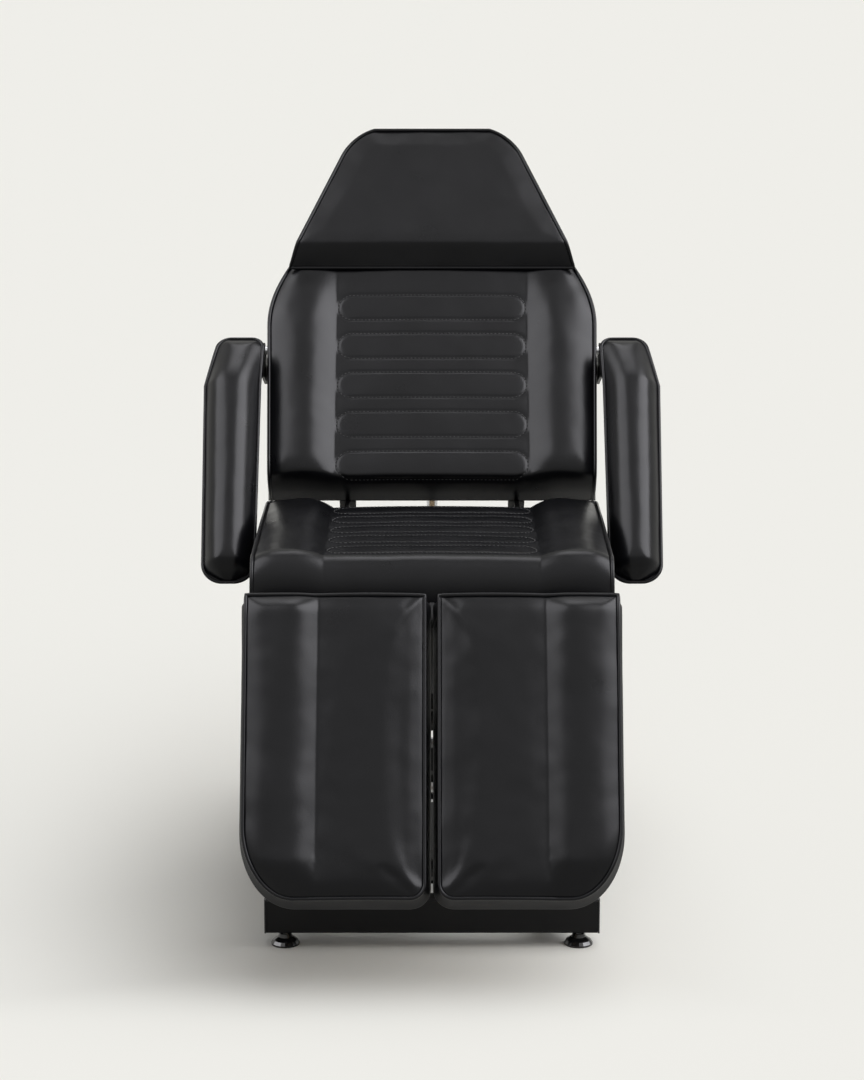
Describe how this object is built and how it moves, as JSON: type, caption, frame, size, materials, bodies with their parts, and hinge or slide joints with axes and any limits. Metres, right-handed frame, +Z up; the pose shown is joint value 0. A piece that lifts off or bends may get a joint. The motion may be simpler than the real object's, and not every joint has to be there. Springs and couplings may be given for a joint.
{
  "type": "podiatry chair",
  "caption": "Black padded foot-care chair with reclining back, separate lifting leg rests, swing-up armrests and a powered swing-arm height lift on a steel floor frame.",
  "frame": {"origin": "on the floor, under the middle of the chair's length and width in the sitting pose", "axes": "+Z up, +Y towards the head end, +X to the right of someone facing the chair from its foot end"},
  "size_m": [0.835, 1.3492, 1.3261],
  "materials": {
    "black_faux_leather": "soft smooth faux leather, slight sheen",
    "black_powder_coat": "satin powder coat",
    "birch_plywood": "sanded, unpainted",
    "zinc_plated_steel": "zinc plated",
    "matt_black_plastic": "fine moulded grain",
    "gloss_black_moulding": "gloss"
  },
  "bodies": {
    "base": {"base_frame": "black_powder_coat", "front_left_plug": "matt_black_plastic", "front_right_plug": "matt_black_plastic", "rear_left_plug": "matt_black_plastic", "rear_right_plug": "matt_black_plastic", "front_lower_axle": "zinc_plated_steel", "rear_lower_axle": "zinc_plated_steel", "lift_anchor_pin": "zinc_plated_steel"},
    "front_arms": {"front_lift_arms": "black_powder_coat"},
    "rear_arms": {"rear_lift_arms": "black_powder_coat"},
    "carriage": {"carriage_frame": "black_powder_coat", "front_upper_axle": "zinc_plated_steel", "rear_upper_axle": "zinc_plated_steel", "back_anchor_pin": "zinc_plated_steel", "left_strut_pin": "zinc_plated_steel", "right_strut_pin": "zinc_plated_steel", "seat_frame": "black_powder_coat", "seat_board": "birch_plywood", "seat_cushion": "black_faux_leather", "control_box": "matt_black_plastic", "mains_inlet": "matt_black_plastic", "handset_socket": "matt_black_plastic", "leg_axle": "zinc_plated_steel", "left_back_hinge_pin": "zinc_plated_steel", "right_back_hinge_pin": "zinc_plated_steel"},
    "back": {"back_frame": "black_powder_coat", "back_board": "birch_plywood", "back_cushion": "black_faux_leather", "head_pillow": "black_faux_leather", "left_arm_bracket": "black_powder_coat", "right_arm_bracket": "black_powder_coat", "left_armrest_bolt": "zinc_plated_steel", "right_armrest_bolt": "zinc_plated_steel"},
    "lift_drive": {"lift_motor": "gloss_black_moulding", "lift_tube": "matt_black_plastic"},
    "lift_drive_rod": {"lift_rod": "zinc_plated_steel"},
    "back_drive": {"back_drive_motor": "gloss_black_moulding", "back_drive_tube": "matt_black_plastic"},
    "back_drive_piston": {"back_drive_rod": "zinc_plated_steel"},
    "left_armrest": {"left_armrest_bar": "black_powder_coat", "left_armrest_pad": "black_faux_leather"},
    "left_leg": {"left_leg_frame": "black_powder_coat", "left_leg_board": "birch_plywood", "left_leg_cushion": "black_faux_leather"},
    "left_strut": {"left_strut_tube": "black_powder_coat"},
    "left_strut_piston": {"left_strut_rod": "zinc_plated_steel"},
    "right_armrest": {"right_armrest_bar": "black_powder_coat", "right_armrest_pad": "black_faux_leather"},
    "right_leg": {"right_leg_frame": "black_powder_coat", "right_leg_board": "birch_plywood", "right_leg_cushion": "black_faux_leather"},
    "right_strut": {"right_strut_tube": "black_powder_coat"},
    "right_strut_piston": {"right_strut_rod": "zinc_plated_steel"},
    "front_left_foot_body": {"front_left_foot": "gloss_black_moulding"},
    "front_right_foot_body": {"front_right_foot": "gloss_black_moulding"},
    "rear_left_foot_body": {"rear_left_foot": "gloss_black_moulding"},
    "rear_right_foot_body": {"rear_right_foot": "gloss_black_moulding"}
  },
  "joints": [
    {"name": "lift", "type": "hinge", "parent": "base", "child": "front_arms", "pos_m": [0, 0.14978, 0.115], "axis": [-1, 0, 0], "range_deg": [0, 45]},
    {"name": "rear_arm_swing", "type": "hinge", "parent": "base", "child": "rear_arms", "pos_m": [0, 0.42978, 0.115], "axis": [-1, 0, 0], "range_deg": [0, 45.5]},
    {"name": "carriage_level", "type": "hinge", "parent": "front_arms", "child": "carriage", "pos_m": [0, -0.2261, 0.25181], "axis": [1, 0, 0], "range_deg": [0, 45.5]},
    {"name": "lift_drive_tilt", "type": "hinge", "parent": "base", "child": "lift_drive", "pos_m": [0, -0.26522, 0.105], "axis": [1, 0, 0], "range_deg": [0, 10.5]},
    {"name": "lift_stroke", "type": "slide", "parent": "lift_drive", "child": "lift_drive_rod", "axis": [0, 0.9714, 0.2376], "range_m": [0, 0.1095]},
    {"name": "back_recline", "type": "hinge", "parent": "carriage", "child": "back", "pos_m": [0, 0.14578, 0.652], "axis": [-1, 0, 0], "range_deg": [0, 52]},
    {"name": "back_drive_tilt", "type": "hinge", "parent": "carriage", "child": "back_drive", "pos_m": [0, 0.00978, 0.29981], "axis": [-1, 0, 0], "range_deg": [0, 12.3]},
    {"name": "back_stroke", "type": "slide", "parent": "back_drive", "child": "back_drive_piston", "axis": [0, 0.6008, 0.7994], "range_m": [-0.1325, 0]},
    {"name": "left_armrest_lift", "type": "hinge", "parent": "back", "child": "left_armrest", "pos_m": [-0.3235, 0.34668, 0.93158], "axis": [-1, 0, 0], "range_deg": [0, 100]},
    {"name": "left_leg_raise", "type": "hinge", "parent": "carriage", "child": "left_leg", "pos_m": [-0.1565, -0.38482, 0.585], "axis": [-1, 0, 0], "range_deg": [0, 62]},
    {"name": "left_strut_tilt", "type": "hinge", "parent": "carriage", "child": "left_strut", "pos_m": [-0.085, -0.05022, 0.29981], "axis": [-1, 0, 0], "range_deg": [0, 7.8]},
    {"name": "left_strut_stroke", "type": "slide", "parent": "left_strut", "child": "left_strut_piston", "axis": [0, -0.9491, 0.315], "range_m": [0, 0.1615]},
    {"name": "right_armrest_lift", "type": "hinge", "parent": "back", "child": "right_armrest", "pos_m": [0.3235, 0.34668, 0.93158], "axis": [-1, 0, 0], "range_deg": [0, 100]},
    {"name": "right_leg_raise", "type": "hinge", "parent": "carriage", "child": "right_leg", "pos_m": [0.1565, -0.38482, 0.585], "axis": [-1, 0, 0], "range_deg": [0, 62]},
    {"name": "right_strut_tilt", "type": "hinge", "parent": "carriage", "child": "right_strut", "pos_m": [0.085, -0.05022, 0.29981], "axis": [-1, 0, 0], "range_deg": [0, 7.8]},
    {"name": "right_strut_stroke", "type": "slide", "parent": "right_strut", "child": "right_strut_piston", "axis": [0, -0.9491, 0.315], "range_m": [0, 0.1615]},
    {"name": "front_left_foot_thread", "type": "hinge", "parent": "base", "child": "front_left_foot_body", "pos_m": [-0.251, -0.31022, 0], "axis": [0, 0, 1], "continuous": true},
    {"name": "front_right_foot_thread", "type": "hinge", "parent": "base", "child": "front_right_foot_body", "pos_m": [0.251, -0.31022, 0], "axis": [0, 0, 1], "continuous": true},
    {"name": "rear_left_foot_thread", "type": "hinge", "parent": "base", "child": "rear_left_foot_body", "pos_m": [-0.251, 0.50978, 0], "axis": [0, 0, 1], "continuous": true},
    {"name": "rear_right_foot_thread", "type": "hinge", "parent": "base", "child": "rear_right_foot_body", "pos_m": [0.251, 0.50978, 0], "axis": [0, 0, 1], "continuous": true}
  ],
  "couplings": [
    {"joint": "rear_arm_swing", "follows": "lift", "ratio": 1},
    {"joint": "carriage_level", "follows": "lift", "ratio": 1},
    {"joint": "lift_drive_tilt", "follows": "lift", "ratio": 0.229},
    {"joint": "lift_stroke", "follows": "lift", "m_per_rad": 0.13744},
    {"joint": "back_drive_tilt", "follows": "back_recline", "ratio": 0.23198},
    {"joint": "back_stroke", "follows": "back_recline", "m_per_rad": -0.14438},
    {"joint": "left_strut_tilt", "follows": "left_leg_raise", "ratio": 0.12164},
    {"joint": "left_strut_stroke", "follows": "left_leg_raise", "m_per_rad": 0.14787},
    {"joint": "right_strut_tilt", "follows": "right_leg_raise", "ratio": 0.12164},
    {"joint": "right_strut_stroke", "follows": "right_leg_raise", "m_per_rad": 0.14787}
  ]
}
